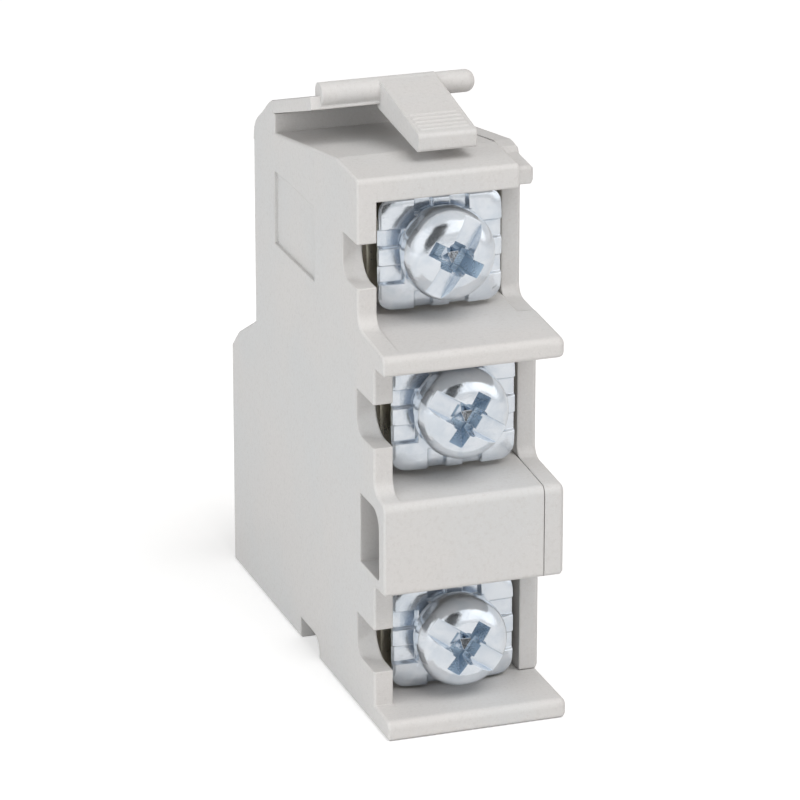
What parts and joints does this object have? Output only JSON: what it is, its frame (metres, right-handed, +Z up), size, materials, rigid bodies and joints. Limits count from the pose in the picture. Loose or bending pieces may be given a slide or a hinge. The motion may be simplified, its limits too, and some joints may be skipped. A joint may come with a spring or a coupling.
{
  "type": "auxiliary contact block",
  "caption": "Slim auxiliary changeover contact block with front screw terminals, sprung top latch and rear actuating lever.",
  "frame": {"origin": "centre of the bounding box at the base", "axes": "+Z up, -Y out of the terminals towards the viewer, +X towards the flat cover, away from the wire entries"},
  "size_m": [0.012, 0.035, 0.0389],
  "materials": {
    "housing_plastic": "fine matte moulding texture",
    "cover_plastic": "fine matte moulding texture",
    "latch_plastic": "fine matte moulding texture",
    "lever_plastic": "matte",
    "screw_zinc": "blue zinc plated",
    "washer_zinc": "blue zinc plated",
    "terminal_brass": "plain stamped",
    "blade_bronze": "rolled spring strip",
    "contact_silver": "silver contact face",
    "pin_steel": "ground"
  },
  "bodies": {
    "housing": {"main_housing": "housing_plastic", "side_cover": "cover_plastic", "common_terminal": "terminal_brass", "upper_contact_terminal": "terminal_brass", "lower_contact_terminal": "terminal_brass", "upper_fixed_contact": "contact_silver", "lower_fixed_contact": "contact_silver", "lever_pin": "pin_steel"},
    "latch": {"latch_arm": "latch_plastic"},
    "lever": {"actuating_lever": "lever_plastic"},
    "blade": {"contact_blade": "blade_bronze", "moving_contact": "contact_silver", "snap_spring": "blade_bronze"},
    "top_washer": {"top_clamp_washer": "washer_zinc"},
    "middle_washer": {"middle_clamp_washer": "washer_zinc"},
    "bottom_washer": {"bottom_clamp_washer": "washer_zinc"},
    "top_screw": {"top_terminal_screw": "screw_zinc"},
    "middle_screw": {"middle_terminal_screw": "screw_zinc"},
    "bottom_screw": {"bottom_terminal_screw": "screw_zinc"}
  },
  "joints": [
    {"name": "latch_flex", "type": "hinge", "parent": "housing", "child": "latch", "pos_m": [0, 0.0055, 0.03533], "axis": [1, 0, 0], "range_deg": [0, 2.2], "stiffness_Nm_per_rad": 0.5, "springref_deg": -0.57},
    {"name": "lever_rock", "type": "hinge", "parent": "housing", "child": "lever", "pos_m": [-0.00005, 0.008, 0.0088], "axis": [1, 0, 0], "range_deg": [-5.2, 0], "stiffness_Nm_per_rad": 0.05, "springref_deg": 1.72},
    {"name": "blade_rock", "type": "hinge", "parent": "housing", "child": "blade", "pos_m": [-0.00005, 0.0074, 0.01482], "axis": [1, 0, 0], "range_deg": [-5.65, 0.02]},
    {"name": "top_washer_slide", "type": "slide", "parent": "housing", "child": "top_washer", "axis": [0, -1, 0], "range_m": [-0.0009, 0.001]},
    {"name": "top_screw_turn", "type": "hinge", "parent": "top_washer", "child": "top_screw", "pos_m": [-0.00005, -0.0123, 0.03005], "axis": [0, -1, 0], "range_deg": [-650, 722]},
    {"name": "middle_washer_slide", "type": "slide", "parent": "housing", "child": "middle_washer", "axis": [0, -1, 0], "range_m": [-0.0009, 0.001]},
    {"name": "middle_screw_turn", "type": "hinge", "parent": "middle_washer", "child": "middle_screw", "pos_m": [-0.00005, -0.015, 0.0204], "axis": [0, -1, 0], "range_deg": [-650, 722]},
    {"name": "bottom_washer_slide", "type": "slide", "parent": "housing", "child": "bottom_washer", "axis": [0, -1, 0], "range_m": [-0.0009, 0.001]},
    {"name": "bottom_screw_turn", "type": "hinge", "parent": "bottom_washer", "child": "bottom_screw", "pos_m": [-0.00005, -0.015, 0.00495], "axis": [0, -1, 0], "range_deg": [-650, 722]}
  ],
  "couplings": [
    {"joint": "blade_rock", "follows": "lever_rock", "ratio": 1.077},
    {"joint": "top_screw_turn", "follows": "top_washer_slide", "rad_per_m": 12566},
    {"joint": "middle_screw_turn", "follows": "middle_washer_slide", "rad_per_m": 12566},
    {"joint": "bottom_screw_turn", "follows": "bottom_washer_slide", "rad_per_m": 12566}
  ]
}
